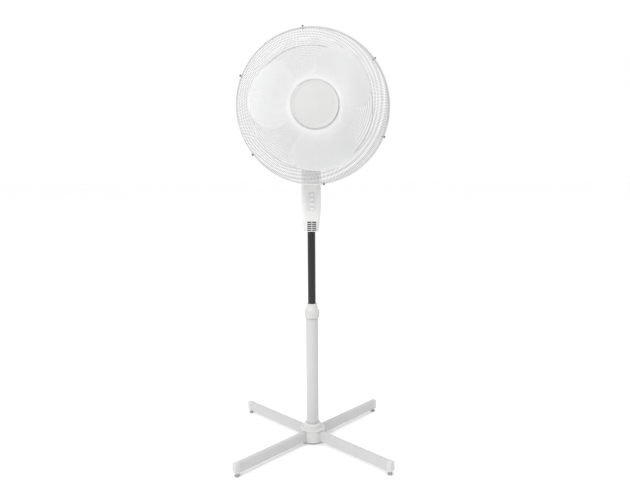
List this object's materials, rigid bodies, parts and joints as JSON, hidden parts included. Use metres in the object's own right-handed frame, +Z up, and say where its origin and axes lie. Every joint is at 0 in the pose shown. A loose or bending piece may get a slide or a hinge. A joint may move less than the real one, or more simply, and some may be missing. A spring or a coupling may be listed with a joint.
{
  "type": "pedestal fan",
  "caption": "Oscillating pedestal fan on a cross base with a height-adjustable pole, push-button control housing, domed wire guard and wide rounded blades.",
  "frame": {"origin": "on the floor, on the axis of the pole", "axes": "+Z up; the fan blows towards -Y, with its head turned slightly towards +X"},
  "size_m": [0.457, 0.457, 1.2401],
  "materials": {
    "white_paint": "satin powder coat",
    "guard_wire": "gloss powder coat",
    "white_plastic": "fine satin",
    "housing_plastic": "fine satin",
    "button_plastic": "semi-gloss",
    "blade_plastic": "semi-gloss",
    "dark_tube": "gloss",
    "clip_plastic": "moulded",
    "grey_rubber": "matt",
    "zinc_steel": "zinc plated",
    "lamination": "stacked sheet",
    "copper": "enamelled wire",
    "bronze": "sintered",
    "die_cast": "as cast",
    "nylon": "natural",
    "switch_plastic": "moulded"
  },
  "bodies": {
    "base": {"base_hub": "white_plastic", "base_cover": "white_plastic", "leg_front_left": "white_paint", "leg_front_right": "white_paint", "leg_rear_left": "white_paint", "leg_rear_right": "white_paint", "leg_end_caps": "white_plastic", "foot_pads": "grey_rubber", "leg_screws": "zinc_steel", "pole_plug": "zinc_steel", "pole_bolt": "zinc_steel", "outer_pole": "white_paint", "pole_insert": "nylon"},
    "height_collar": {"height_collar": "white_plastic"},
    "collet": {"collet": "nylon"},
    "column": {"inner_tube": "dark_tube", "control_housing_front": "housing_plastic", "control_housing_rear": "housing_plastic", "housing_screws": "zinc_steel", "tube_screw": "zinc_steel", "switch_block": "switch_plastic", "tilt_bracket": "white_paint", "bracket_screws": "zinc_steel", "tilt_bolt": "zinc_steel"},
    "tilt_knob": {"tilt_knob": "white_plastic"},
    "neck": {"neck": "white_paint", "thrust_washer": "nylon", "pivot_clip": "zinc_steel"},
    "crank_link": {"crank_link": "zinc_steel"},
    "head": {"gearbox_case": "die_cast", "gearbox_lid": "die_cast", "front_shield": "die_cast", "rear_shield": "die_cast", "shaft_bearings": "bronze", "stator_core": "lamination", "stator_windings": "copper", "motor_screws": "zinc_steel", "motor_front_cover": "white_plastic", "motor_rear_cover": "white_plastic", "grille_nut": "white_plastic", "rear_grille": "guard_wire", "front_grille": "guard_wire", "centre_cap": "white_plastic"},
    "rotor": {"rotor_core": "lamination", "motor_shaft": "zinc_steel", "fan_blade": "blade_plastic", "blade_nut": "white_plastic"},
    "worm_wheel": {"worm_wheel": "nylon"},
    "crank_gear": {"crank_gear": "nylon"},
    "oscillation_knob": {"oscillation_knob": "white_plastic"},
    "button_off": {"button_off": "button_plastic"},
    "button_low": {"button_low": "button_plastic"},
    "button_medium": {"button_medium": "button_plastic"},
    "button_high": {"button_high": "button_plastic"},
    "rim_clip_1": {"rim_clip_1": "clip_plastic"},
    "rim_clip_2": {"rim_clip_2": "clip_plastic"},
    "rim_clip_3": {"rim_clip_3": "clip_plastic"},
    "rim_clip_4": {"rim_clip_4": "clip_plastic"},
    "rim_clip_5": {"rim_clip_5": "clip_plastic"},
    "rim_clip_6": {"rim_clip_6": "clip_plastic"}
  },
  "joints": [
    {"name": "height_collar_turn", "type": "hinge", "parent": "base", "child": "height_collar", "pos_m": [0, 0, 0.42], "axis": [0, 0, 1], "range_deg": [-180, 0]},
    {"name": "pole_swivel", "type": "hinge", "parent": "base", "child": "collet", "pos_m": [0, 0, 0.42], "axis": [0, 0, 1], "range_deg": [-180, 180]},
    {"name": "height_slide", "type": "slide", "parent": "collet", "child": "column", "axis": [0, 0, 1], "range_m": [-0.2, 0.05]},
    {"name": "tilt", "type": "hinge", "parent": "column", "child": "neck", "pos_m": [0, 0, 0.905], "axis": [-0.9981, -0.061, 0], "range_deg": [-15, 20]},
    {"name": "tilt_knob_turn", "type": "hinge", "parent": "column", "child": "tilt_knob", "pos_m": [0, 0, 0.905], "axis": [0.9981, 0.061, 0], "range_deg": [-180, 0]},
    {"name": "oscillation", "type": "hinge", "parent": "neck", "child": "head", "pos_m": [0, 0, 0.95], "axis": [0, 0, 1], "range_deg": [-40, 40]},
    {"name": "crank_link_swing", "type": "hinge", "parent": "neck", "child": "crank_link", "pos_m": [0.02172, 0.00534, 0.944], "axis": [0, 0, 1], "range_deg": [-36.1, 36.1]},
    {"name": "blade_spin", "type": "hinge", "parent": "head", "child": "rotor", "pos_m": [0, 0, 1.026], "axis": [0.061, -0.9981, 0], "continuous": true},
    {"name": "worm_wheel_spin", "type": "hinge", "parent": "head", "child": "worm_wheel", "pos_m": [-0.01694, 0.02301, 1.026], "axis": [0, 0, 1], "continuous": true},
    {"name": "crank_gear_spin", "type": "hinge", "parent": "head", "child": "crank_gear", "pos_m": [0.00721, 0.0295, 1], "axis": [0, 0, 1], "continuous": true},
    {"name": "oscillation_knob_pull", "type": "slide", "parent": "head", "child": "oscillation_knob", "axis": [0, 0, 1], "range_m": [0, 0.006]},
    {"name": "button_off_press", "type": "slide", "parent": "column", "child": "button_off", "axis": [-0.061, 0.9981, 0], "range_m": [0, 0.003], "stiffness_N_per_m": 200},
    {"name": "button_low_press", "type": "slide", "parent": "column", "child": "button_low", "axis": [-0.061, 0.9981, 0], "range_m": [0, 0.003], "stiffness_N_per_m": 200},
    {"name": "button_medium_press", "type": "slide", "parent": "column", "child": "button_medium", "axis": [-0.061, 0.9981, 0], "range_m": [0, 0.003], "stiffness_N_per_m": 200},
    {"name": "button_high_press", "type": "slide", "parent": "column", "child": "button_high", "axis": [-0.061, 0.9981, 0], "range_m": [0, 0.003], "stiffness_N_per_m": 200},
    {"name": "rim_clip_1_hinge", "type": "hinge", "parent": "head", "child": "rim_clip_1", "pos_m": [0.17409, -0.10432, 1.15445], "axis": [-0.6076, -0.0372, 0.7934], "range_deg": [0, 90]},
    {"name": "rim_clip_2_hinge", "type": "hinge", "parent": "head", "child": "rim_clip_2", "pos_m": [-0.02048, -0.11622, 1.2352], "axis": [-0.9896, -0.0605, -0.1305], "range_deg": [0, 90]},
    {"name": "rim_clip_3_hinge", "type": "hinge", "parent": "head", "child": "rim_clip_3", "pos_m": [-0.18757, -0.12644, 1.10675], "axis": [-0.382, -0.0234, -0.9239], "range_deg": [0, 90]},
    {"name": "rim_clip_4_hinge", "type": "hinge", "parent": "head", "child": "rim_clip_4", "pos_m": [-0.16008, -0.12476, 0.89755], "axis": [0.6076, 0.0372, -0.7934], "range_deg": [0, 90]},
    {"name": "rim_clip_5_hinge", "type": "hinge", "parent": "head", "child": "rim_clip_5", "pos_m": [0.03449, -0.11285, 0.81681], "axis": [0.9896, 0.0605, 0.1305], "range_deg": [0, 90]},
    {"name": "rim_clip_6_hinge", "type": "hinge", "parent": "head", "child": "rim_clip_6", "pos_m": [0.20158, -0.10264, 0.94525], "axis": [0.382, 0.0234, 0.9239], "range_deg": [0, 90]}
  ],
  "couplings": [
    {"joint": "worm_wheel_spin", "follows": "blade_spin", "ratio": 0.027778},
    {"joint": "crank_gear_spin", "follows": "blade_spin", "ratio": -0.006944},
    {"joint": "crank_link_swing", "follows": "oscillation", "ratio": 0.8777}
  ]
}
